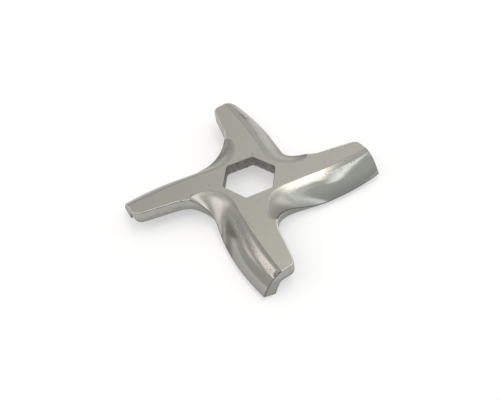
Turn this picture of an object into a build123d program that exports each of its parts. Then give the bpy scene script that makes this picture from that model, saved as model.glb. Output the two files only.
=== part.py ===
from build123d import *
import os
from math import sin, cos, tan, radians, degrees, atan2

# Meat grinder knife, four arms, stamped and bent from one plate. Millimetres.
# Own frame: origin on the axis of the hexagonal hole, at the plane the knife rests on, Z up.
# Arm lengths are told along the first arm (X); every size is turned four times about Z.

# plate
arm_count = 4
plate_thickness = 2.4
overall_height = 4.8

# hexagonal drive hole
hex_across_flats = 9.0
hex_turn = 16.3
hex_corner_radius = 0.45
hex_break_above = 0.12
hex_break_below = 0.35

# outline of the root between two arms and of the two sides of an arm
web_width = 4.67
root_radius = 5.7
root_lean = 5.16
back_turn = 21.0
back_radius = 42.0
upright_slope = 19.0

# end of an arm
tip_along = 20.35
tip_middle = 9.6
tip_slant = 4.0
tip_corner_radius = 1.1

# line where the ground flat top ends and the bent flank begins
rim_width = 0.615
shoulder_root_radius = 5.45
shoulder_lean = 9.71
shoulder_turn = 15.6
shoulder_radius = 105.0
shoulder_slope = 9.0

# bent flank
edge_drop = 3.9
edge_drop_reach = 9.0
edge_slope = 65.0
shoulder_handle = 0.40
edge_handle = 0.42

# building allowances: how far the arms run on before their ends are squared
tip_allowance = 1.2
cut_allowance = 4.0
level_tolerance = 0.0005

# fineness of the bent flank
root_sections = 6
arm_sections = 7
first_share = 0.15

face_height = overall_height
quarter = 360.0 / arm_count
hole_reach = hex_across_flats / (2.0 * cos(radians(30.0)))

# centres of the two root arcs: the web is what stands between the hole's corners and the root
# outline, and the rim is the part of it that stays flat up to the shoulder
root_centre = hole_reach + web_width + root_radius
root_along = root_centre * sin(radians(root_lean))
root_out = root_centre * cos(radians(root_lean))
shoulder_centre = hole_reach + rim_width + shoulder_root_radius
shoulder_along = shoulder_centre * sin(radians(shoulder_lean))
shoulder_out = shoulder_centre * cos(radians(shoulder_lean))


def arc_point(along, out, radius, turn):
    """Point on an arc bulging towards the axis, told by its turn from the square-in direction."""
    return Vector(along + radius * sin(radians(turn)), -out + radius * cos(radians(turn)))


def bent_line(start, turn, radius, along):
    """Point at one distance along the arm, on the arc that leaves start at a turn and straightens."""
    angle = radians(turn)
    reach = along - start.X
    depth = radius * cos(angle) - (radius ** 2 - (radius * sin(angle) - reach) ** 2) ** 0.5
    return Vector(along, start.Y + depth)


def flank_section(shoulder, edge, share_drop, share_tip):
    """Open section of the bent plate: over the shoulder, round the free edge and back below."""
    line = edge - shoulder
    width = line.length
    drop = edge_drop * sin(radians(90.0 * share_drop))
    slope = radians(edge_slope * sin(radians(90.0 * share_tip)))
    rise = tan(radians(shoulder_slope)) * sin(radians(90.0 * share_drop))
    chord = (width ** 2 + drop ** 2) ** 0.5

    def at(out, down):
        spot = shoulder + line.normalized() * out
        return Vector(spot.X, spot.Y, face_height - down)

    top_start = at(0.0, 0.0)
    top_first = at(shoulder_handle * width, shoulder_handle * width * rise)
    top_second = at(
        width - edge_handle * chord * cos(slope),
        drop - edge_handle * chord * sin(slope),
    )
    top_end = at(width, drop)
    low_width = width - plate_thickness * sin(slope)
    low_drop = drop + plate_thickness * cos(slope)
    low_chord = (low_width ** 2 + (low_drop - plate_thickness) ** 2) ** 0.5
    low_start = at(0.0, plate_thickness)
    low_first = at(
        shoulder_handle * low_width,
        plate_thickness + shoulder_handle * low_width * rise,
    )
    low_second = at(
        low_width - edge_handle * low_chord * cos(slope),
        low_drop - edge_handle * low_chord * sin(slope),
    )
    low_end = at(low_width, low_drop)
    edges = [
        Bezier(top_start, top_first, top_second, top_end),
        Line(top_end, low_end),
        Bezier(low_end, low_second, low_first, low_start),
    ]
    return Wire(edges)


def level_edges(shape, height):
    """Edges of a shape that lie in one level plane."""
    shares = (0.0, 0.25, 0.5, 0.75, 1.0)
    return shape.edges().filter_by(
        lambda edge: max(abs((edge @ share).Z - height) for share in shares) < level_tolerance
    )


def turn_of(along, out, spot):
    """Turn of a point seen from an arc's centre, from the square-in direction, negative inwards."""
    angle = degrees(atan2(spot.X - along, spot.Y + out))
    return angle if angle < 90.0 else angle - 360.0


# corner where the shoulder line runs out into the root outline: the two arcs cross there
between = Vector(root_along - shoulder_along, shoulder_out - root_out)
gap = between.length
foot = (shoulder_root_radius ** 2 - root_radius ** 2 + gap ** 2) / (2.0 * gap)
side = (shoulder_root_radius ** 2 - foot ** 2) ** 0.5
unit = between.normalized()
corner = Vector(shoulder_along, -shoulder_out) + unit * foot + Vector(unit.Y, -unit.X) * side
shoulder_start = turn_of(shoulder_along, shoulder_out, corner)
root_start = turn_of(root_along, root_out, corner)

shoulder_join = arc_point(shoulder_along, shoulder_out, shoulder_root_radius, shoulder_turn)
back_join = arc_point(root_along, root_out, root_radius, back_turn)
tip_reach = tip_along + tip_allowance

rails = []
for step in range(root_sections + 1):
    share = first_share + (1.0 - first_share) * step / root_sections
    shoulder_angle = shoulder_start + (shoulder_turn - shoulder_start) * share
    root_angle = root_start + (back_turn - root_start) * share
    rails.append((
        arc_point(shoulder_along, shoulder_out, shoulder_root_radius, shoulder_angle),
        arc_point(root_along, root_out, root_radius, root_angle),
    ))
for step in range(1, arm_sections + 1):
    share = step / arm_sections
    shoulder_reach = shoulder_join.X + (tip_reach - shoulder_join.X) * share
    back_reach = back_join.X + (tip_reach - back_join.X) * share
    rails.append((
        bent_line(shoulder_join, shoulder_turn, shoulder_radius, shoulder_reach),
        bent_line(back_join, back_turn, back_radius, back_reach),
    ))

drop_start = rails[0][1].X
sections = []
for shoulder, edge in rails:
    share_drop = min(1.0, (edge.X - drop_start) / (edge_drop_reach - drop_start))
    share_tip = min(1.0, (edge.X - drop_start) / (tip_along - drop_start))
    sections.append(flank_section(shoulder, edge, share_drop, share_tip))
flank = Shell.make_loft(sections)

# faces of one arm: the bent flank and the upright side standing between the two flat faces
floor_height = face_height - plate_thickness
tip_shoulder = rails[-1][0]
root_end = rails[0][1]
root_end_turn = turn_of(root_along, root_out, root_end)
upright_turn = upright_slope - 90.0
upright_unit = Vector(cos(radians(upright_slope)), -sin(radians(upright_slope)))
root_spots = [
    arc_point(root_along, root_out, root_radius, turn).rotate(Axis.Z, quarter)
    for turn in (root_end_turn, (root_end_turn + upright_turn) / 2.0, upright_turn)
]
upright_start = root_spots[2]
upright_end = upright_start + upright_unit * ((tip_reach - upright_start.X) / upright_unit.X)
outline = [
    ThreePointArc(*root_spots),
    Line(upright_start, upright_end),
    Line(upright_end, tip_shoulder),
]
top_edges = level_edges(flank, face_height)
low_edges = level_edges(flank, floor_height)
for edge in outline:
    top_edges.append(Pos(0, 0, face_height) * edge)
    low_edges.append(Pos(0, 0, floor_height) * edge)
upright_faces = [
    Face.extrude(Pos(0, 0, face_height) * edge, (0, 0, -plate_thickness)) for edge in outline[:2]
]
tip_edges = [
    Pos(0, 0, face_height) * outline[2],
    Pos(0, 0, floor_height) * outline[2],
    Line(
        Vector(upright_end.X, upright_end.Y, face_height),
        Vector(upright_end.X, upright_end.Y, floor_height),
    ),
]
tip_edges.extend(sections[-1].edges())
arm_faces = list(flank.faces()) + upright_faces + [Face(Wire(tip_edges))]

# the four arms share one flat face above and one below
all_faces = []
all_top = []
all_low = []
for number in range(arm_count):
    turn = -quarter * number
    all_faces.extend(face.rotate(Axis.Z, turn) for face in arm_faces)
    all_top.extend(edge.rotate(Axis.Z, turn) for edge in top_edges)
    all_low.extend(edge.rotate(Axis.Z, turn) for edge in low_edges)
all_faces.append(Face(Wire(all_top)))
all_faces.append(Face(Wire(all_low)))
knife = Part() + Solid(Shell(all_faces))

# the foot the knife rests on and the squared ends of the arms
span = 4.0 * tip_reach
block = Box(span, span, cut_allowance, align=(Align.CENTER, Align.CENTER, Align.MIN))
knife = knife - Pos(0, 0, -cut_allowance) * block
end_cutter = Box(
    cut_allowance, tip_reach, 3.0 * overall_height, align=(Align.MIN, Align.CENTER, Align.CENTER)
)
end_place = Pos(tip_along, -tip_middle, 0) * Rot(0, 0, -tip_slant)
for number in range(arm_count):
    knife = knife - Rot(0, 0, -quarter * number) * end_place * end_cutter

# hexagonal hole with slightly rounded corners and the rough break-out at its lower side
hex_shape = Rot(0, 0, hex_turn) * RegularPolygon(
    hex_across_flats / 2, 6, major_radius=False, rotation=30.0
)
hex_face = fillet(hex_shape.vertices(), hex_corner_radius)
hole = extrude(hex_face, amount=2.0 * overall_height)
knife = knife - hole


def bore_edges(height):
    """Edges round the hexagonal hole at one height, none of them further out than its corners."""
    return level_edges(knife, height).filter_by(
        lambda edge: max((edge @ share).X ** 2 + (edge @ share).Y ** 2 for share in (0.0, 0.5, 1.0))
        < hole_reach ** 2
    )


# the hole is broken slightly above and torn a little wider where the punch came out
knife = chamfer(bore_edges(face_height), hex_break_above)
knife = chamfer(bore_edges(floor_height), hex_break_below)

# the upright corner at the end of each arm is rounded
tip_corners = knife.edges().filter_by(Axis.Z).filter_by(
    lambda edge: Vector(edge.center().X, edge.center().Y).length > tip_along
)
knife = fillet(tip_corners, tip_corner_radius)

os.makedirs("parts", exist_ok=True)
export_step(knife, "parts/grinder_knife.step")
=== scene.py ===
import bpy
import numpy as np
from mathutils import Matrix


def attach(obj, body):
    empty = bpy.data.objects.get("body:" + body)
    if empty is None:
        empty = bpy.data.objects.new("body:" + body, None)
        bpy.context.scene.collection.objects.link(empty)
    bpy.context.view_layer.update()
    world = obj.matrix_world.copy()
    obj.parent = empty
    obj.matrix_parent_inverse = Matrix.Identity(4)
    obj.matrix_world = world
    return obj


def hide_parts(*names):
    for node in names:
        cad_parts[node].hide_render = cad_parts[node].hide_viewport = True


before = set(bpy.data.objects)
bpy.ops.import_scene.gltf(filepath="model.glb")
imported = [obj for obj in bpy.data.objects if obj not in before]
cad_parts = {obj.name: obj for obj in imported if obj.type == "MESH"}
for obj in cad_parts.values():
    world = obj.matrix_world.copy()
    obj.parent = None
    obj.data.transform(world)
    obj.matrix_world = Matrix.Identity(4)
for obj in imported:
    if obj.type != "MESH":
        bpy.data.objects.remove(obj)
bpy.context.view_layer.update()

# A meat grinder knife: its visual model, with the photograph's camera, a white floor and a room.

# Sizes of the knife in millimetres and degrees, as the solid has them. The first arm lies along
# +X, and the root on its -Y side has two arcs: its outline's and its shoulder line's. Their
# centres and the end of the arm are plan points. MM is a millimetre in metres.
MM = 0.001
ARMS = 4
QUARTER = 90.0
TOP = 4.8
PLATE = 2.4
HEX_FLATS = 9.0
HEX_TURN = 16.3
HEX_STEP = 60.0
HEX_CORNER_RADIUS = 0.45
ROOT_RADIUS = 5.7
ROOT_CENTRE = np.array([1.3996, -15.4977])
BACK_TURN = 21.0
BACK_RADIUS = 42.0
SHOULDER_ROOT_RADIUS = 5.45
SHOULDER_CENTRE = np.array([1.8993, -11.1000])
SHOULDER_TURN = 15.6
SHOULDER_RADIUS = 105.0
SHOULDER_SLOPE = 9.0
SEAM_SHARE = 0.15
UPRIGHT_SLOPE = 19.0
TIP = np.array([20.35, -9.6])
TIP_SLANT = 4.0
TIP_CORNER_RADIUS = 1.1
EDGE_DROP = 3.9
EDGE_DROP_REACH = 9.0
EDGE_SLOPE = 65.0
SHOULDER_HANDLE = 0.40
EDGE_HANDLE = 0.42

# How softly the shoulder sets in and the edges are broken, how wide the strip beside an upright
# side is, and how many rows and steps lay the surfaces out.
SHOULDER_EASE = 0.25
EDGE_SOFTNESS = 0.13
TIP_SOFTNESS = 0.11
STRIP_WIDTH = 0.45
TIP_ROWS = 10
UPRIGHT_ROWS = 26
ROOT_ROWS = 48
HUB_ROWS = 14
INNER_ROWS = 20
BEND_STEPS = 22
CORNER_STEPS = 6
SIDE_STEPS = 10
CROSS_STEPS = 14
HUB_STEPS = 8
HOLE_STEPS = 14
CORNER_ROWS = ROOT_ROWS // 2
OUTER_ROWS = UPRIGHT_ROWS + CORNER_ROWS + HUB_ROWS

# Working tables: the points of a section's curve and of a plan line, how far that line runs past
# the arm's end, how far from a corner its fine steps reach, the smallest window of the moving
# average, and how many places a millimetre holds when points are welded.
CURVE_POINTS = 240
LINE_POINTS = 4000
LINE_OVERRUN = 1.0
CORNER_REACH = 1.5 * EDGE_SOFTNESS
SMALLEST_WINDOW = 1e-4
WELD_PLACES = 1e4

# Hole's wall: its quarter round above, the share of the depth where the tear begins, how far the
# tear stands back and the power it grows with, how far the punched and the torn part stray, and
# the power that crowds its rows at the top. On the hub, rows turn faster near the hole.
RIM_RADIUS = 0.10
TEAR_START = 0.55
TEAR_BACK = 0.22
TEAR_POWER = 1.5
PUNCH_STRAY = 0.02
TEAR_STRAY = 0.07
WALL_POWER = 1.2
HUB_POWER = 1.5

# Waves of the stray: how many go round the hole, the angle they gain down the wall and the angle
# they begin with, in radians. Each is weaker than the one before, and the sum is scaled down.
WAVES = ((23, 5.7, 0.3), (41, -8.1, 1.1), (67, 10.8, 2.2), (97, -13.2, 0.7), (149, 15.6, 3.0))
WAVE_LOSS = 0.35
WAVE_SUM = 2.4

# Finish of each patch, by its place in the knife's list of materials, and its smooth group.
GROUND, POLISHED, SHEARED, TORN, EDGE = range(5)
SIDES, UPPER, LOWER, CAPS, WALL = range(5)

# Marks seen in the photograph: small nicks in the ground face and the chip at the front arm's end,
# as middle and radius, and the far arm's wavy scratch, as start, heading, length, width and sway.
# Then the share of its radius or width that a mark or line fills, the waves in a scratch, and
# where it fades out past its ends and away from its height.
NICKS = (((3.95, 4.55, 4.8), 0.32), ((-19.3, 6.6, 4.8), 0.22))
CHIP = ((-9.9, -20.1, 4.45), 0.75)
SCRATCH = ((9.30, 15.75, 4.4), -66.0, 2.3, 0.23, 0.25)
MARK_CORE = 0.4
LINE_CORE = 0.3
SCRATCH_WAVES = 1.1
SCRATCH_END = 0.1
SCRATCH_HEIGHT = (1.0, 1.4)

# Camera of the photograph: its height, turn and roll, its place from the middle of the knife's top
# along its own right, up and back, its focal length and the photograph's width in pixels, its
# sensor's width, and the nearest it sees, in metres.
CAMERA_TURNS = (46.83, -31.0, -8.9)
CAMERA_PLACE = np.array([0.131, -4.294, 114.45])
FOCAL_PIXELS = 628.75
WIDTH_PIXELS = 500.0
SENSOR_WIDTH = 36.0
NEAREST_SEEN = 0.005

# Floor: half its width in metres, its colour, and the light it adds where it is seen.
FLOOR_REACH = 1.5
FLOOR_COLOUR = (0.535, 0.54, 0.55, 1.0)
FLOOR_LIFT = 0.44

# Room: its colour, then its other colours, each with the azimuth and elevation it lies round and
# the cosines of the angle from there between which it sets in.
ROOM = (0.80, 0.795, 0.775)
ROOM_SIDES = (
    ((-70.0, 10.0), (0.1, 0.9), (0.68, 0.72, 0.695)),
    ((120.0, 20.0), (0.5, 0.95), (0.62, 0.61, 0.59)),
)

# Lamps hung level, as they lie in the plan at unit height: middle, half width and half length,
# turn, softness of the border, and light. Each lies over those before it, and all of them fade
# out between two heights of a ray, above the horizon.
LAMPS = (
    ((0.14, 1.02), (0.26, 0.42), 0.0, 0.14, (0.64, 0.635, 0.61)),  # dim panel behind
    ((0.62, 0.66), (0.24, 0.26), 0.0, 0.20, (1.06, 1.05, 1.02)),  # faint, behind right
    ((1.25, -0.60), (0.45, 0.20), 40.0, 0.14, (2.3, 2.22, 2.18)),  # low on the right
    ((-2.20, 2.60), (0.25, 1.00), 30.0, 0.30, (1.2, 1.12, 1.10)),  # faint, far behind left
    ((-1.02, 0.50), (0.22, 0.78), 42.0, 0.16, (2.4, 2.23, 2.16)),  # left
    ((-0.75, 0.96), (0.50, 0.14), -28.0, 0.15, (1.85, 1.72, 1.66)),  # behind left
    ((0.36, -0.87), (0.10, 0.56), -11.5, 0.06, (1.85, 1.94, 1.92)),  # narrow and cool, in front
    ((0.187, -0.247), (0.13, 0.66), -15.0, 0.02, (3.5, 3.34, 3.12)),  # long, nearly overhead
)
HORIZON = (0.03, 0.10)


def turned(points, degrees):
    """Points turned about the hole's axis: x and y mixed by the cosine and sine of the angle."""
    a = np.radians(degrees)
    x, y = points[..., 0], points[..., 1]
    out = np.array(points, dtype=float)
    out[..., 0] = x * np.cos(a) - y * np.sin(a)
    out[..., 1] = x * np.sin(a) + y * np.cos(a)
    return out


def on_arc(centre, radius, turn):
    """Points on an arc: centre plus radius times the sine and cosine of the turn, told from +Y."""
    a = np.radians(turn)
    return centre + np.stack([np.sin(a), np.cos(a)], axis=-1) * radius


def turn_from(centre, point):
    """Turn of a point round a centre, told from +Y towards +X: the arc tangent of x over y."""
    return np.degrees(np.arctan2(point[0] - centre[0], point[1] - centre[1]))


def straightening(start, turn, radius, along):
    """Shallow arc leaving start at a turn: its depth is r cos(turn) less the root of r squared
    minus the square of the run still missing to the arc's crown."""
    a = np.radians(turn)
    missing = radius * np.sin(a) - (along - start[0])
    depth = radius * np.cos(a) - np.sqrt(radius ** 2 - missing ** 2)
    return np.stack([along, start[1] + depth], axis=-1)


def tip_distance(points):
    """Distance of plan points from the slanting end of the arm, positive inside the arm."""
    a = np.radians(TIP_SLANT)
    return (TIP[0] - points[..., 0]) * np.cos(a) + (points[..., 1] - TIP[1]) * np.sin(a)


def rounding(distance, radius):
    """How far a quarter-round edge falls back at a distance from its end: r less the root of
    r squared minus (r - d) squared, and nothing past the radius."""
    short = np.clip(radius - distance, 0.0, radius)
    return radius - np.sqrt(radius ** 2 - short ** 2)


def at_tip_distances(line, start, *stages):
    """Points of a plan line at stepped distances from the arm's end, read off a fine table: first
    quarter-round steps over the rounded corner, then even steps over each stage, given as the
    number of rows and the distance where it ends, or None for the line's start."""
    table = line(np.linspace(start, TIP[0] + LINE_OVERRUN, LINE_POINTS))
    distance = tip_distance(table)
    rows = TIP_CORNER_RADIUS * (1.0 - np.cos(np.linspace(0.0, np.pi / 2.0, TIP_ROWS + 1)))
    for count, end in stages:
        end = distance[0] if end is None else end
        rows = np.append(rows, np.linspace(rows[-1], end, count + 1)[1:])
    order = np.argsort(distance)
    along = [np.interp(rows, distance[order], table[order, k]) for k in range(2)]
    return np.stack(along, axis=-1), rows


def circles_crossing():
    """Crossing of the shoulder's and the root's circles on the hub's side: a foot along the line
    of centres, then half the common chord square to it."""
    between = ROOT_CENTRE - SHOULDER_CENTRE
    gap = np.hypot(*between)
    foot = (SHOULDER_ROOT_RADIUS ** 2 - ROOT_RADIUS ** 2 + gap ** 2) / (2.0 * gap)
    half = np.sqrt(SHOULDER_ROOT_RADIUS ** 2 - foot ** 2)
    unit = between / gap
    return SHOULDER_CENTRE + unit * foot + np.array([unit[1], -unit[0]]) * half


def flank_lines():
    """Shoulder and edge of the bent flank, from the arm's end to the seam in the root. Along the
    arm both are shallow arcs; in the root both turns shrink in step from the arm to the seam."""
    corner = circles_crossing()
    shoulder_join = on_arc(SHOULDER_CENTRE, SHOULDER_ROOT_RADIUS, SHOULDER_TURN)
    edge_join = on_arc(ROOT_CENTRE, ROOT_RADIUS, BACK_TURN)
    share = np.linspace(1.0, SEAM_SHARE, ROOT_ROWS + 1)[1:]
    shoulder_start = turn_from(SHOULDER_CENTRE, corner)
    root_start = turn_from(ROOT_CENTRE, corner)
    shoulder_root = on_arc(SHOULDER_CENTRE, SHOULDER_ROOT_RADIUS,
                           shoulder_start + (SHOULDER_TURN - shoulder_start) * share)
    edge_root = on_arc(ROOT_CENTRE, ROOT_RADIUS, root_start + (BACK_TURN - root_start) * share)
    hub_distance = tip_distance(turned(shoulder_root[-1 - HUB_ROWS], QUARTER))
    stages = (OUTER_ROWS - TIP_ROWS, hub_distance), (INNER_ROWS, None)
    shoulder_arm, rows = at_tip_distances(
        lambda x: straightening(shoulder_join, SHOULDER_TURN, SHOULDER_RADIUS, x),
        shoulder_join[0], *stages)
    edge_arm, _ = at_tip_distances(
        lambda x: straightening(edge_join, BACK_TURN, BACK_RADIUS, x), edge_join[0], *stages)
    shoulder = np.concatenate([shoulder_arm, shoulder_root])
    edge = np.concatenate([edge_arm, edge_root])
    return shoulder, edge, np.concatenate([rows, np.full(ROOT_ROWS, rows[-1])])


def upright_lines(seam_shoulder, seam_edge):
    """Inner and outer line of the upright side, from the seam in the root to the next arm's end:
    the rest of the root arc, then a straight run. The inner line keeps the strip's width, and
    eases to it from the seam's own width. The outer corner at the arm's end is a quarter round."""
    turn_end = UPRIGHT_SLOPE - QUARTER
    turn_seam = turn_from(ROOT_CENTRE, seam_edge)
    turns = np.linspace(turn_seam, turn_end, CORNER_ROWS + 1)[1:]
    edge_root = on_arc(ROOT_CENTRE, ROOT_RADIUS, turns)
    ease = np.linspace(0.0, 1.0, len(turns) + 1)[1:, None] ** 0.5
    seam_offset = seam_shoulder - seam_edge
    radial = on_arc(ROOT_CENTRE, ROOT_RADIUS + STRIP_WIDTH, turns) - edge_root
    carried = np.stack([turned(seam_offset, -(t - turn_seam)) for t in turns])
    shoulder_root = edge_root + carried * (1.0 - ease) + radial * ease

    start = turned(on_arc(ROOT_CENTRE, ROOT_RADIUS, turn_end), QUARTER)
    slope = np.radians(UPRIGHT_SLOPE)
    along = np.array([np.cos(slope), -np.sin(slope)])
    inward = np.array([-np.sin(slope), -np.cos(slope)])
    edge_arm, rows = at_tip_distances(
        lambda x: start + np.outer((x - start[0]) / along[0], along),
        start[0], (UPRIGHT_ROWS - TIP_ROWS, None))
    slide = tip_distance(TIP + inward) / -tip_distance(TIP + along)
    inset = inward + along * slide
    edge_arm = edge_arm + np.outer(rounding(rows, TIP_CORNER_RADIUS), inset)
    shoulder_arm = edge_arm + inset * STRIP_WIDTH
    order = slice(-2, None, -1)
    shoulder = np.concatenate([shoulder_root, turned(shoulder_arm[order], -QUARTER)])
    edge = np.concatenate([edge_root, turned(edge_arm[order], -QUARTER)])
    return shoulder, edge, np.concatenate([np.full(len(turns), rows[-1]), rows[order]])


def bezier(p0, p1, p2, p3, count):
    """Cubic curve from p0 to p3: the four points weighted by (1-t)^3, 3t(1-t)^2, 3t^2(1-t), t^3."""
    t = np.linspace(0.0, 1.0, count)[:, None, None]
    return (1 - t) ** 3 * p0 + 3 * t * (1 - t) ** 2 * p1 + 3 * t ** 2 * (1 - t) * p2 + t ** 3 * p3


def plate_sections(width, drop, slope, rise):
    """Sections of the bent plate as (out, down) points: a cubic from the shoulder to the free edge,
    the sheared side square to the plate, and a cubic back below. The first slope is eased in from
    nothing: the drop loses slope c (1 - exp(-out / c)), less and less towards the edge. Nothing is
    lower than the foot, and every corner is softened by a moving average along the section."""
    zero = np.zeros_like(width)
    shear = np.stack([-np.sin(slope), np.cos(slope)], axis=-1) * PLATE
    heading = np.stack([np.cos(slope), np.sin(slope)], axis=-1)
    upper_end = np.stack([width, drop], axis=-1)
    lower_end = upper_end + shear
    lower_width = lower_end[:, 0]
    chord = np.hypot(width, drop)[:, None]
    lower_chord = np.hypot(lower_width, lower_end[:, 1] - PLATE)[:, None]
    over = bezier(
        np.stack([zero, zero], axis=-1),
        np.stack([width, width * rise], axis=-1) * SHOULDER_HANDLE,
        upper_end - heading * chord * EDGE_HANDLE, upper_end, CURVE_POINTS)
    eased = SHOULDER_EASE * (1.0 - np.exp(-over[..., 0] / SHOULDER_EASE))
    over[..., 1] -= rise * eased * (1.0 - over[..., 0] / width)
    side = upper_end + shear * np.linspace(0.0, 1.0, CURVE_POINTS // 2)[1:, None, None]
    below = bezier(
        lower_end, lower_end - heading * lower_chord * EDGE_HANDLE,
        np.stack([lower_width * SHOULDER_HANDLE,
                  PLATE + lower_width * rise * SHOULDER_HANDLE], axis=-1),
        np.stack([zero, zero + PLATE], axis=-1), CURVE_POINTS)[1:]
    curve = swapped(np.concatenate([over, side, below]))
    marks = (CURVE_POINTS - 1, CURVE_POINTS - 1 + len(side))
    curve[..., 1] = np.minimum(curve[..., 1], TOP)
    return softened(curve, marks)


def softened(curve, marks):
    """Each section resampled at its steps, finest about its two marked corners, with the moving
    average of half-width EDGE_SOFTNESS: the running integral of the point over the arc length,
    taken across the window."""
    step = np.linalg.norm(np.diff(curve, axis=1), axis=2)
    length = np.concatenate([np.zeros((len(curve), 1)), np.cumsum(step, axis=1)], axis=1)
    middle = 0.5 * (curve[:, 1:] + curve[:, :-1]) * step[..., None]
    total = np.concatenate([np.zeros((len(curve), 1, 2)), np.cumsum(middle, axis=1)], axis=1)
    out = []
    for s, c, whole, first, last in zip(length, total, length[:, -1],
                                        length[:, marks[0]], length[:, marks[1]]):
        knots = [0.0, first - CORNER_REACH, first + CORNER_REACH,
                 last - CORNER_REACH, last + CORNER_REACH, whole]
        counts = [BEND_STEPS, CORNER_STEPS, SIDE_STEPS, CORNER_STEPS, BEND_STEPS]
        spots = [np.linspace(a, b, n + 1)[:-1] for a, b, n in zip(knots, knots[1:], counts)]
        spots = np.append(np.concatenate(spots), whole)
        window = np.minimum(EDGE_SOFTNESS, np.minimum(spots, whole - spots))
        window = np.maximum(window, SMALLEST_WINDOW)
        low = np.clip(spots - window, 0.0, whole)
        high = np.clip(spots + window, 0.0, whole)
        mean = [(np.interp(high, s, c[:, k]) - np.interp(low, s, c[:, k])) / (high - low)
                for k in range(2)]
        out.append(np.stack(mean, axis=-1))
    out = np.array(out)
    out[:, 0], out[:, -1] = curve[:, 0], curve[:, -1]
    return out


def inward_normals(sections):
    """Unit normals pointing into the plate: the section's direction of travel turned a quarter."""
    travel = np.gradient(sections, axis=1)
    travel /= np.linalg.norm(travel, axis=2, keepdims=True)
    return np.stack([-travel[..., 1], travel[..., 0]], axis=-1)


def side_band():
    """Grid of the band that runs from one arm's end along its bent flank, round the root and out
    along the next arm's upright side. Each row is a plate section standing on the plan line from
    shoulder to edge. Drop and slope follow a quarter sine of the run along the arm."""
    shoulder, edge, distance = flank_lines()
    drop_start = edge[-1, 0]
    drop_share = np.clip((edge[:, 0] - drop_start) / (EDGE_DROP_REACH - drop_start), 0.0, 1.0)
    tip_share = np.clip((edge[:, 0] - drop_start) / (TIP[0] - drop_start), 0.0, 1.0)
    swing = np.sin(np.radians(QUARTER * drop_share))
    upright = upright_lines(shoulder[-1], edge[-1])
    still = np.zeros(len(upright[0]))
    shoulder = np.concatenate([shoulder, upright[0]])
    edge = np.concatenate([edge, upright[1]])
    distance = np.concatenate([distance, upright[2]])
    drop = np.concatenate([EDGE_DROP * swing, still])
    tilt = np.radians(EDGE_SLOPE) * np.sin(np.radians(QUARTER * tip_share))
    slope = np.concatenate([tilt, still])
    rise = np.concatenate([np.tan(np.radians(SHOULDER_SLOPE)) * swing, still])

    across = edge - shoulder
    width = np.linalg.norm(across, axis=1)
    sections = plate_sections(width, drop, slope, rise)
    fall_back = rounding(distance, TIP_SOFTNESS)[:, None, None]
    sections = sections + inward_normals(sections) * fall_back
    across = across / width[:, None]
    plan = shoulder[:, None, :] + across[:, None, :] * sections[..., :1]
    return np.concatenate([plan, TOP - sections[..., 1:]], axis=-1)


def patch_inside(upper, lower, left, right):
    """Grid inside four border lines: the straight mix of upper and lower border plus that of left
    and right, less the mix of the four corners."""
    u = np.linspace(0.0, 1.0, len(upper))[None, :, None]
    v = np.linspace(0.0, 1.0, len(left))[:, None, None]
    across = (1.0 - v) * upper + v * lower
    down = (1.0 - u) * left[:, None] + u * right[:, None]
    corners = ((1.0 - v) * ((1.0 - u) * upper[0] + u * upper[-1])
               + v * ((1.0 - u) * lower[0] + u * lower[-1]))
    return across + down - corners


def swapped(grid):
    """Grid with its rows and columns exchanged."""
    return grid.transpose(1, 0, 2)


def ruled(first, last, steps):
    """Grid of straight lines between two rows of points: each row is a share of the way over."""
    share = np.linspace(0.0, 1.0, steps + 1)[:, None, None]
    return first * (1.0 - share) + last * share


def hexagon_reach(angle):
    """Distance from the axis to the rounded hexagon in a direction: half the flats over the cosine
    of the angle to the nearest side's normal, or the corner arc's crossing where that is nearer."""
    corner = HEX_STEP / 2.0
    off = (angle - HEX_TURN + corner) % HEX_STEP - corner
    half = HEX_FLATS / 2.0
    flat = half / np.cos(np.radians(off))
    centre = (half - HEX_CORNER_RADIUS) / np.cos(np.radians(corner))
    beta = np.radians(corner - np.abs(off))
    inside = np.clip(HEX_CORNER_RADIUS ** 2 - (centre * np.sin(beta)) ** 2, 0.0, None)
    rounded = centre * np.cos(beta) + np.sqrt(inside)
    on_corner = centre * np.sin(beta) <= HEX_CORNER_RADIUS * np.sin(np.radians(corner))
    return np.where(on_corner, np.minimum(flat, rounded), flat)


def ripple(angle, depth):
    """Ragged, repeatable offsets, about -1 to 1: a sum of weaker and weaker sines of the angle,
    with a whole number of waves round the hole, and of the depth."""
    a = np.radians(angle)
    parts = [np.sin(count * a + gain * depth + first) / (1.0 + WAVE_LOSS * number)
             for number, (count, gain, first) in enumerate(WAVES)]
    return sum(parts) / WAVE_SUM


def hub(rim, outline):
    """Flat ring between the hole's rim and the outline: both the reach and the angle go from the
    rim's to the outline's, the reach by even shares and the angle faster near the rim."""
    share = np.linspace(0.0, 1.0, HUB_STEPS + 1)[:, None]
    turn = [np.unwrap(np.arctan2(line[:, 1], line[:, 0])) for line in (rim, outline)]
    far = [np.hypot(line[:, 0], line[:, 1]) for line in (rim, outline)]
    angle = turn[1] + (turn[0] - turn[1]) * (1.0 - share) ** HUB_POWER
    reach = far[0] + (far[1] - far[0]) * share
    height = rim[:, 2] + (outline[:, 2] - rim[:, 2]) * share
    grid = np.stack([reach * np.cos(angle), reach * np.sin(angle), height], axis=-1)
    grid[0], grid[-1] = rim, outline
    return grid


def spread_angles(outline):
    """Angles round the hole for the outline's points: each step is the outline's own turn plus the
    mean turn, halved, so that no step is tiny and none strays far."""
    angle = np.unwrap(np.arctan2(outline[:, 1], outline[:, 0]))
    closed = np.append(angle, angle[0] - 2.0 * np.pi)
    step = np.diff(closed)
    mixed = 0.5 * step + 0.5 * step.mean()
    spread = angle[0] + np.concatenate([[0.0], np.cumsum(mixed)[:-1]])
    spread += (angle - spread).mean()
    return np.degrees(spread)


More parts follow.
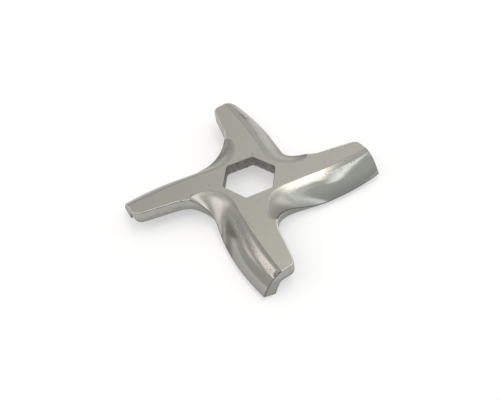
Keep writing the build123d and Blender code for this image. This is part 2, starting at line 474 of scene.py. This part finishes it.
def lay_of(grid, edges=(0, -1)):
    """Where each point of a grid lies on its own surface, in millimetres: the length run along its
    first column, the length run across its row, and the length to the nearest edge column."""
    run = np.linalg.norm(np.diff(grid[:, 0], axis=0), axis=-1)
    run = np.concatenate([[0.0], np.cumsum(run)])
    across = np.linalg.norm(np.diff(grid, axis=1), axis=-1)
    across = np.concatenate([np.zeros((len(grid), 1)), np.cumsum(across, axis=1)], axis=1)
    edge = np.min([np.abs(across - across[:, [column]]) for column in edges], axis=0)
    return np.stack([np.broadcast_to(run[:, None], across.shape), across, edge], axis=-1)


def weld(patches):
    """One mesh from many grids: corners at the same place, to a tenth of a micron, become one
    vertex; squares that lost a corner become triangles, and the rest of the collapsed ones go."""
    points, quads, finish, group, lay = [], [], [], [], []
    base = 0
    for grid, place, material, smooth_group in patches:
        rows, cols = grid.shape[:2]
        index = base + np.arange(rows * cols).reshape(rows, cols)
        corners = [index[:-1, :-1], index[1:, :-1], index[1:, 1:], index[:-1, 1:]]
        block = np.stack(corners, axis=-1).reshape(-1, 4)
        points.append(grid.reshape(-1, 3))
        lay.append(place.reshape(-1, 3)[block - base])
        quads.append(block)
        column = np.broadcast_to(material, (rows - 1, cols - 1)).reshape(-1)
        finish.append(column)
        group.append(np.full(len(block), smooth_group))
        base += rows * cols
    points = np.concatenate(points)
    _, first, back = np.unique(np.round(points * WELD_PLACES).astype(np.int64), axis=0,
                               return_index=True, return_inverse=True)
    quads = back.reshape(-1)[np.concatenate(quads)]
    lay = np.concatenate(lay)
    return points[first], quads, np.concatenate(finish), np.concatenate(group), lay


def build_mesh(name, patches, materials):
    """Mesh of the welded grids, in metres, with sharp edges where two patches of different smooth
    groups meet. Each face corner keeps its lay on its own patch."""
    points, quads, finish, group, lay = weld(patches)
    same = quads == np.roll(quads, 1, axis=1)
    whole = ~same.any(axis=1)
    once = same.sum(axis=1) == 1
    loops = np.concatenate([quads[whole].reshape(-1), quads[once][~same[once]]])
    lay = np.concatenate([lay[whole].reshape(-1, 3), lay[once][~same[once]]])
    sizes = np.concatenate([np.full(whole.sum(), 4), np.full(once.sum(), 3)])
    finish = np.concatenate([finish[whole], finish[once]])
    group = np.concatenate([group[whole], group[once]])
    starts = np.concatenate([[0], np.cumsum(sizes)[:-1]])

    mesh = bpy.data.meshes.new(name)
    mesh.vertices.add(len(points))
    mesh.vertices.foreach_set("co", (points * MM).reshape(-1))
    mesh.loops.add(len(loops))
    mesh.loops.foreach_set("vertex_index", loops.astype(np.int32))
    mesh.polygons.add(len(sizes))
    mesh.polygons.foreach_set("loop_start", starts.astype(np.int32))
    mesh.update(calc_edges=True)
    for material in materials:
        mesh.materials.append(material)
    mesh.polygons.foreach_set("material_index", finish.astype(np.int32))
    mesh.shade_smooth()
    on_patch = mesh.attributes.new("lay", "FLOAT_VECTOR", "CORNER")
    on_patch.data.foreach_set("vector", lay.reshape(-1))

    edge_of_loop = np.empty(len(mesh.loops), dtype=np.int32)
    mesh.loops.foreach_get("edge_index", edge_of_loop)
    group_of_loop = np.repeat(group, sizes)
    low = np.full(len(mesh.edges), group.max())
    high = np.full(len(mesh.edges), group.min())
    np.minimum.at(low, edge_of_loop, group_of_loop)
    np.maximum.at(high, edge_of_loop, group_of_loop)
    sharp = mesh.attributes.new("sharp_edge", "BOOLEAN", "EDGE")
    sharp.data.foreach_set("value", low != high)
    mesh.update()
    return mesh


def knife_patches():
    """All the knife's grids: four side bands, the two flat faces, the rounded arm ends with their
    caps, and the hole's wall."""
    band = side_band()

    # Columns in the middle of the band's two corners, above and below its sheared side.
    above = BEND_STEPS + CORNER_STEPS // 2
    below = above + CORNER_STEPS + SIDE_STEPS
    band_finish = np.full((len(band) - 1, band.shape[1] - 1), POLISHED)
    seam = OUTER_ROWS + INNER_ROWS + ROOT_ROWS
    band_finish[seam:, :BEND_STEPS] = GROUND
    # The upper rounded edge of the upright sides takes the finish with the painted highlight.
    band_finish[seam:, BEND_STEPS:above] = EDGE
    band_finish[:, above:-BEND_STEPS] = SHEARED

    # The previous arm's band ends in this arm's upright side: row by row from the arm's end.
    upright = turned(band[::-1], QUARTER)
    outer = slice(0, OUTER_ROWS + 1)
    upper_face = swapped(ruled(upright[outer, 0], band[outer, 0], CROSS_STEPS))
    lower_face = swapped(ruled(upright[outer, -1], band[outer, -1], CROSS_STEPS))
    upper_chain = np.concatenate([upright[0, above::-1], upper_face[0, 1:-1], band[0, :above + 1]])
    lower_chain = np.concatenate([upright[0, below:], lower_face[0, 1:-1], band[0, :below - 1:-1]])
    cap = patch_inside(upper_chain, lower_chain,
                       upright[0, above:below + 1], band[0, above:below + 1])

    inner = slice(OUTER_ROWS, -1 - OUTER_ROWS)
    turns = [-QUARTER * number for number in range(ARMS)]
    upper_quarter = np.concatenate([upper_face[-1, :-1], band[inner, 0]])
    lower_quarter = np.concatenate([lower_face[-1, :-1], band[inner, -1]])
    upper_outline = np.concatenate([turned(upper_quarter, turn) for turn in turns])
    lower_outline = np.concatenate([turned(lower_quarter, turn) for turn in turns])
    wall = hole_wall(spread_angles(upper_outline))

    quarter = [
        (band, lay_of(band, (above, below)), band_finish, SIDES),
        (upper_face, lay_of(upper_face), GROUND, UPPER),
        (lower_face[:, ::-1], lay_of(lower_face)[:, ::-1], POLISHED, LOWER),
        (cap[:, ::-1], swapped(lay_of(swapped(cap)))[:, ::-1], SHEARED, CAPS),
    ]
    patches = [(turned(grid, turn), *rest) for turn in turns for grid, *rest in quarter]
    rings = (
        (ring(hub(wall[0], upper_outline))[:, ::-1], GROUND, UPPER),
        (ring(hub(wall[-1], lower_outline)), POLISHED, LOWER),
        (ring(wall), TORN, WALL),
    )
    patches.extend((grid, swapped(lay_of(swapped(grid))), *rest) for grid, *rest in rings)
    return patches


def ring(grid):
    """Grid closed round the axis: its first column is set again at the end."""
    return np.concatenate([grid, grid[:, :1]], axis=1)


def hole_wall(angles):
    """Grid down the hexagonal hole. The wall stands back from the true hexagon by a small quarter
    round above, a slight stray over the punched part, and a growing, ragged amount over the torn
    part."""
    depth = np.linspace(0.0, 1.0, HOLE_STEPS + 1)[:, None] ** WALL_POWER
    torn = np.clip((depth - TEAR_START) / (1.0 - TEAR_START), 0.0, 1.0)
    ragged = ripple(angles, depth)
    back = rounding(depth * PLATE, RIM_RADIUS) + PUNCH_STRAY * ragged * depth
    back = back + torn ** TEAR_POWER * (TEAR_BACK + TEAR_STRAY * ragged)
    reach = hexagon_reach(angles) + back
    a = np.radians(angles)
    height = np.broadcast_to(TOP - PLATE * depth, reach.shape)
    return np.stack([reach * np.cos(a), reach * np.sin(a), height], axis=-1)


class Nodes:
    """Short way to add linked nodes to one node tree."""

    def __init__(self, tree):
        self.tree = tree

    def add(self, kind, inputs=(), **settings):
        """A node with its settings; each input is a number, a vector, or another node's socket."""
        node = self.tree.nodes.new(kind)
        for name, value in settings.items():
            setattr(node, name, value)
        for key, value in dict(inputs).items():
            if isinstance(value, bpy.types.NodeSocket):
                self.tree.links.new(value, node.inputs[key])
            else:
                node.inputs[key].default_value = value
        return node

    def math(self, operation, *values):
        """Result of a Math node over its values."""
        return self.add("ShaderNodeMath", enumerate(values), operation=operation).outputs[0]

    def vector(self, operation, *values):
        """Outputs of a Vector Math node over its values."""
        return self.add("ShaderNodeVectorMath", enumerate(values), operation=operation).outputs

    def product(self, first, *others):
        """Product of all the values."""
        for other in others:
            first = self.math("MULTIPLY", first, other)
        return first

    def dot(self, first, second):
        """Dot product of two vectors."""
        return self.vector("DOT_PRODUCT", first, second)["Value"]

    def parts(self, vector):
        """The x, y and z of a vector."""
        return self.add("ShaderNodeSeparateXYZ", {0: vector}).outputs

    def place(self):
        """Place on the object, in metres."""
        return self.add("ShaderNodeTexCoord").outputs["Object"]

    def lay(self):
        """Place on the surface's own patch, in millimetres: run, across and way to the edge."""
        return self.add("ShaderNodeAttribute", attribute_name="lay").outputs["Vector"]

    def step(self, value, low, high):
        """Smooth step: 0 below low, 1 above high."""
        node = self.add("ShaderNodeMapRange", {"Value": value, "From Min": low, "From Max": high},
                        interpolation_type="SMOOTHSTEP")
        return node.outputs["Result"]

    def fade(self, value, low, high):
        """Smooth step down: 1 below low, 0 above high."""
        return self.math("SUBTRACT", 1.0, self.step(value, low, high))

    def mix(self, share, first, second):
        """Colour between first and second by the share. Of the node's sockets, inputs 6 and 7 and
        output 2 are the ones for colours."""
        node = self.add("ShaderNodeMix", {"Factor": share}, data_type="RGBA")
        for socket, value in ((node.inputs[6], first), (node.inputs[7], second)):
            if isinstance(value, bpy.types.NodeSocket):
                self.tree.links.new(value, socket)
            else:
                socket.default_value = (*value, 1.0)
        return node.outputs[2]

    def layered(self, colour, *layers):
        """Colour under layers, each given as its share, its strength and its own colour."""
        for share, strength, own in layers:
            colour = self.mix(self.math("MULTIPLY", share, strength), colour, own)
        return colour


def metal(name, roughness):
    """An empty metal finish of a middle roughness: its material, node helper and shader."""
    finish = bpy.data.materials.new(name)
    finish.use_nodes = True
    shader = finish.node_tree.nodes["Principled BSDF"]
    shader.inputs["Metallic"].default_value = 1.0
    shader.inputs["Roughness"].default_value = roughness
    return finish, Nodes(finish.node_tree), shader


def grain(nodes, position, scale, octaves=3.0, roughness=0.6):
    """Noise from 0 to 1 over a position, with one scale or its own along each axis: about so many
    grains per metre of place, or per millimetre of lay."""
    scale = tuple(np.broadcast_to(scale, 3).tolist())
    placed = nodes.add("ShaderNodeMapping", {"Vector": position, "Scale": scale}).outputs[0]
    noise = nodes.add("ShaderNodeTexNoise", {"Vector": placed, "Scale": 1.0, "Detail": octaves,
                                             "Roughness": roughness})
    return noise.outputs["Fac"]


def lines(nodes, noise, width):
    """Thin lines where a noise crosses one half: 1 on the line, 0 past the width."""
    away = nodes.math("ABSOLUTE", nodes.math("SUBTRACT", noise, 0.5))
    return nodes.fade(away, LINE_CORE * width, width)


def dent(nodes, place, middle, radius):
    """Share of a small round mark: 1 near its middle, 0 past its radius, in millimetres."""
    away = nodes.vector("DISTANCE", place, tuple(np.array(middle) * MM))["Value"]
    return nodes.fade(away, MARK_CORE * radius * MM, radius * MM)


def scar(nodes, place, start, heading, length, width, sway):
    """Share of a wavy scratch seen from above: the offset across its heading, less a sine of the
    run along it, inside its width, its length and a small height, in millimetres."""
    turn = np.radians(heading)
    low, high = (limit * MM for limit in SCRATCH_HEIGHT)
    along, across = (np.cos(turn), np.sin(turn), 0.0), (-np.sin(turn), np.cos(turn), 0.0)
    offset = nodes.vector("SUBTRACT", place, tuple(np.array(start) * MM))[0]
    run = nodes.math("DIVIDE", nodes.dot(offset, along), MM)
    waves = 2.0 * np.pi * SCRATCH_WAVES / length
    swing = nodes.math("SINE", nodes.math("MULTIPLY", run, waves))
    away = nodes.math("SUBTRACT", nodes.math("DIVIDE", nodes.dot(offset, across), MM),
                      nodes.math("MULTIPLY", swing, sway))
    height = nodes.parts(offset)[2]
    return nodes.product(nodes.fade(nodes.math("ABSOLUTE", away), MARK_CORE * width, width),
                         nodes.step(run, -SCRATCH_END, SCRATCH_END),
                         nodes.fade(run, length - SCRATCH_END, length + SCRATCH_END),
                         nodes.fade(nodes.math("ABSOLUTE", height), low, high))


def close(nodes, shader, colour, roughness, relief):
    """Link a finish: its colour, its roughness, and its bumps, each as its height, its distance in
    millimetres and its strength."""
    links = nodes.tree.links
    links.new(colour, shader.inputs["Base Color"])
    links.new(roughness, shader.inputs["Roughness"])
    normal = None
    for height, distance, strength in relief:
        inputs = {"Height": height, "Distance": distance * MM, "Strength": strength}
        if normal is not None:
            inputs["Normal"] = normal
        normal = nodes.add("ShaderNodeBump", inputs).outputs[0]
    links.new(normal, shader.inputs["Normal"])


def ground_face():
    """Flat top off the grinding wheel: warm even grey, faint straight lines from the wheel, a slow
    cloudiness, a few hairline scratches and two nicks."""
    finish, nodes, shader = metal("ground_face", 0.34)
    place = nodes.place()
    wheel = grain(nodes, place, (9000.0, 420.0, 900.0), 2.0)
    cloud = grain(nodes, place, (160.0, 210.0, 160.0), 3.0)
    scratch = lines(nodes, grain(nodes, place, (900.0, 110.0, 300.0), 1.0, 0.4), 0.006)
    rare = nodes.step(grain(nodes, place, 240.0, 1.0), 0.52, 0.62)
    nick = nodes.math("MAXIMUM", *(dent(nodes, place, *mark) for mark in NICKS))
    colour = nodes.layered(
        nodes.mix(cloud, (0.41, 0.401, 0.364), (0.45, 0.441, 0.402)),
        (nodes.product(scratch, rare), 0.5, (0.27, 0.262, 0.23)),
        (nick, 0.35, (0.20, 0.195, 0.17)),
    )
    roughness = nodes.math("MULTIPLY_ADD", wheel, 0.10, 0.29)
    close(nodes, shader, colour, roughness,
          [(wheel, 0.02, 0.12), (cloud, 0.3, 0.05), (nick, -0.08, 0.6)])
    return finish


def polished_flank():
    """Bent flank, tumbled bright and duller in the root: a slow unevenness of the sheet, lines
    drawn and scratched along the arm, fine grain, dark pits in a belt where the bend sets in,
    painted shade darkening it towards the free edge, painted shade as dark lines along its edges,
    its end and the shoulder line, the wavy scratch and the chip."""
    finish, nodes, shader = metal("polished_flank", 0.22)
    shader.inputs["Specular Tint"].default_value = (0.84, 0.83, 0.81, 1.0)
    place, lay = nodes.place(), nodes.lay()
    run, across, edge = nodes.parts(lay)
    slow = grain(nodes, place, 330.0, 2.0)
    fine = grain(nodes, place, 4200.0, 3.0, 0.7)
    drawn = grain(nodes, lay, (0.55, 11.0, 1.0), 3.0)
    scratch = lines(nodes, grain(nodes, lay, (0.35, 2.2, 1.0), 1.0, 0.4), 0.008)
    root = nodes.step(run, 13.0, 19.5)
    belt = nodes.product(nodes.step(across, 0.9, 1.3), nodes.fade(across, 1.5, 2.8),
                         nodes.math("SUBTRACT", 1.0, root))
    pits = nodes.product(nodes.step(grain(nodes, place, 4200.0, 2.0), 0.54, 0.64),
                         nodes.math("MULTIPLY_ADD", belt, 0.70, 0.14))
    border = nodes.math("MINIMUM", edge, nodes.math("SUBTRACT", run, 0.06))
    chip = nodes.product(dent(nodes, place, *CHIP), nodes.step(fine, 0.42, 0.56))
    cut = nodes.math("MAXIMUM", scar(nodes, place, *SCRATCH), chip)
    colour = nodes.layered(
        nodes.mix(slow, (0.405, 0.403, 0.375), (0.445, 0.443, 0.415)),
        (scratch, 0.35, (0.25, 0.245, 0.23)),
        (pits, 0.7, (0.15, 0.145, 0.135)),
        # Painted shade: the flank darker towards its free edge.
        (nodes.fade(edge, 0.3, 2.8), 0.8, (0.29, 0.288, 0.27)),
        (cut, 1.0, (0.055, 0.052, 0.047)),
        # Painted shade: dark lines along the edges and at the arm's end.
        (nodes.fade(border, 0.06, 0.24), 0.75, (0.13, 0.125, 0.11)),
        # Painted shade: a dark line along the shoulder line.
        (nodes.fade(across, 0.03, 0.14), 0.45, (0.15, 0.145, 0.125)),
    )
    roughness = nodes.math("MULTIPLY_ADD", fine, 0.07, 0.07)
    roughness = nodes.math("MULTIPLY_ADD", belt, 0.03, roughness)
    roughness = nodes.math("MULTIPLY_ADD", root, 0.21, roughness)
    close(nodes, shader, colour, roughness,
          [(slow, 0.3, 0.011), (drawn, 0.03, 0.08), (fine, 0.016, 0.16), (cut, -0.10, 0.6)])
    return finish


def sheared_side():
    """Sides left by the shear: a smoother upper part, a dull lower part where the plate broke,
    drag marks across the plate, and painted shade as a broken dark line along its borders."""
    finish, nodes, shader = metal("sheared_side", 0.42)
    place = nodes.place()
    height, edge = nodes.parts(place)[2], nodes.parts(nodes.lay())[2]
    drag = grain(nodes, place, (3600.0, 3600.0, 500.0), 3.0)
    coarse = grain(nodes, place, 1400.0, 4.0, 0.65)
    broken = nodes.fade(nodes.math("MULTIPLY_ADD", coarse, 1.2 * MM, height), 3.6 * MM, 4.4 * MM)
    # Painted shade: a broken dark line along the borders.
    line = nodes.product(nodes.fade(edge, 0.08, 0.20), nodes.step(coarse, 0.30, 0.50))
    colour = nodes.layered(
        nodes.mix(coarse, (0.35, 0.345, 0.32), (0.46, 0.455, 0.425)),
        (broken, 0.6, (0.31, 0.305, 0.28)),
        (line, 0.85, (0.10, 0.095, 0.085)),
    )
    roughness = nodes.math("MULTIPLY_ADD", broken, 0.14, 0.34)
    roughness = nodes.math("MULTIPLY_ADD", coarse, 0.10, roughness)
    close(nodes, shader, colour, roughness, [(drag, 0.05, 0.35), (coarse, 0.10, 0.25)])
    return finish


def torn_wall():
    """Wall of the punched hole: dull, scored from the punch, with dark patches, and lighter where
    it is torn below, partly the torn metal and partly a painted reflection of the floor."""
    finish, nodes, shader = metal("torn_wall", 0.55)
    place = nodes.place()
    height = nodes.parts(place)[2]
    scored = grain(nodes, place, (3000.0, 3000.0, 350.0), 3.0)
    rough = grain(nodes, place, 1500.0, 5.0, 0.7)
    # Lighter torn part below: partly the torn metal, partly a painted reflection of the floor.
    torn = nodes.fade(nodes.math("MULTIPLY_ADD", rough, 1.0 * MM, height), 3.0 * MM, 3.3 * MM)
    colour = nodes.layered(
        nodes.mix(scored, (0.18, 0.175, 0.158), (0.34, 0.332, 0.305)),
        (nodes.step(rough, 0.52, 0.62), 0.6, (0.075, 0.072, 0.065)),
        (torn, 0.6, (0.42, 0.413, 0.385)),
    )
    roughness = nodes.math("MULTIPLY_ADD", rough, 0.25, 0.40)
    close(nodes, shader, colour, roughness, [(scored, 0.08, 0.4), (rough, 0.12, 0.4)])
    return finish


def edge_painted_highlight():
    """Narrow rounded edge of the upright sides, with a painted highlight: a bright colour where it
    catches light, and small dark nicks.
    """
    finish, nodes, shader = metal("edge_painted_highlight", 0.12)
    nicks = grain(nodes, nodes.place(), 1500.0, 3.0, 0.6)
    share = nodes.step(nicks, 0.60, 0.68)
    # Painted highlight: the bright colour stands in for the light the rounded edge catches; the
    # dark share is nicks.
    colour = nodes.mix(share, (0.85, 0.84, 0.80), (0.20, 0.195, 0.18))
    roughness = nodes.math("MULTIPLY_ADD", share, 0.25, 0.12)
    close(nodes, shader, colour, roughness, [(nicks, 0.03, 0.3)])
    return finish


def photographed_camera():
    """Camera of the photograph: its back axis from its height and turn, its right and up axes
    turned by the roll, and its place told along the three from the middle of the top."""
    height, turn, roll = np.radians(CAMERA_TURNS)
    back = np.array([np.sin(turn) * np.cos(height), -np.cos(turn) * np.cos(height), np.sin(height)])
    level = np.array([np.cos(turn), np.sin(turn), 0.0])
    steep = np.cross(back, level)
    right = np.cos(roll) * level + np.sin(roll) * steep
    up = np.cos(roll) * steep - np.sin(roll) * level
    axes = np.stack([right, up, back], axis=1)
    data = bpy.data.cameras.new("camera")
    data.sensor_width = SENSOR_WIDTH
    data.lens = FOCAL_PIXELS / WIDTH_PIXELS * SENSOR_WIDTH
    data.clip_start = NEAREST_SEEN
    camera = bpy.data.objects.new("camera", data)
    world = np.eye(4)
    world[:3, :3] = axes
    world[:3, 3] = (axes @ CAMERA_PLACE + np.array([0.0, 0.0, TOP])) * MM
    camera.matrix_world = Matrix(world.tolist())
    bpy.context.scene.collection.objects.link(camera)
    bpy.context.scene.camera = camera


def floor():
    """Wide white floor that keeps the soft shadow."""
    mesh = bpy.data.meshes.new("floor")
    low, high = -FLOOR_REACH, FLOOR_REACH
    corners = [(low, low, 0.0), (high, low, 0.0), (high, high, 0.0), (low, high, 0.0)]
    mesh.from_pydata(corners, [], [(0, 1, 2, 3)])
    plane = bpy.data.objects.new("floor", mesh)
    bpy.context.scene.collection.objects.link(plane)
    paper = bpy.data.materials.new("white_floor")
    paper.use_nodes = True
    nodes = Nodes(paper.node_tree)
    shader = paper.node_tree.nodes["Principled BSDF"]
    shader.inputs["Base Color"].default_value = FLOOR_COLOUR
    shader.inputs["Roughness"].default_value = 1.0
    shader.inputs["Specular IOR Level"].default_value = 0.0
    shader.inputs["Emission Color"].default_value = (1.0, 1.0, 1.0, 1.0)
    path = nodes.add("ShaderNodeLightPath").outputs
    seen = nodes.math("MAXIMUM", path["Is Camera Ray"],
                      nodes.math("MAXIMUM", path["Is Glossy Ray"], path["Is Transmission Ray"]))
    lift = nodes.math("MULTIPLY", seen, FLOOR_LIFT)
    paper.node_tree.links.new(lift, shader.inputs["Emission Strength"])
    mesh.materials.append(paper)


def pointing(azimuth, elevation):
    """Unit vector at an azimuth, told from +X towards +Y, and an elevation, in degrees."""
    a, e = np.radians([azimuth, elevation])
    return np.cos(a) * np.cos(e), np.sin(a) * np.cos(e), np.sin(e)


def hung_lamp(nodes, plan, middle, half, turn, softness):
    """Share of a soft-edged rectangle hung level at unit height, seen along a ray: the plan point's
    offsets from its middle along its own turned axes, inside its half width and half length."""
    t = np.radians(turn)
    offset = nodes.vector("SUBTRACT", plan, (*middle, 0.0))[0]
    axes = (np.cos(t), np.sin(t), 0.0), (-np.sin(t), np.cos(t), 0.0)
    return nodes.product(*(
        nodes.fade(nodes.math("ABSOLUTE", nodes.dot(offset, axis)),
                   reach - softness, reach + softness)
        for axis, reach in zip(axes, half)))


def studio():
    """Pale room, cooler in front and darker behind, with soft lamps hung overhead. A ray's plan
    point is where it crosses unit height: its x and y over its z, for rays above the horizon."""
    world = bpy.data.worlds.new("studio")
    world.use_nodes = True
    nodes = Nodes(world.node_tree)
    ray = nodes.add("ShaderNodeTexCoord").outputs["Generated"]
    height = nodes.parts(ray)[2]
    above = nodes.step(height, *HORIZON)
    lift = nodes.math("DIVIDE", 1.0, nodes.math("MAXIMUM", height, HORIZON[0]))
    plan = nodes.add("ShaderNodeVectorMath", {0: ray, "Scale": lift}, operation="SCALE").outputs[0]
    plan = nodes.vector("MULTIPLY", plan, (1.0, 1.0, 0.0))[0]
    colour = ROOM
    for side, cosines, own in ROOM_SIDES:
        colour = nodes.mix(nodes.step(nodes.dot(ray, pointing(*side)), *cosines), colour, own)
    for *shape, light in LAMPS:
        share = nodes.product(hung_lamp(nodes, plan, *shape), above)
        colour = nodes.mix(share, colour, light)
    background = world.node_tree.nodes["Background"]
    world.node_tree.links.new(colour, background.inputs["Color"])
    bpy.context.scene.world = world


# The finishes stand in the order of GROUND, POLISHED, SHEARED, TORN and EDGE.
materials = [ground_face(), polished_flank(), sheared_side(), torn_wall(), edge_painted_highlight()]
knife_mesh = build_mesh("knife_steel", knife_patches(), materials)
knife = bpy.data.objects.new("knife_steel", knife_mesh)
bpy.context.scene.collection.objects.link(knife)
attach(knife, "root")
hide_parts("grinder_knife")

photographed_camera()
floor()
studio()
bpy.context.scene.view_settings.view_transform = "Standard"
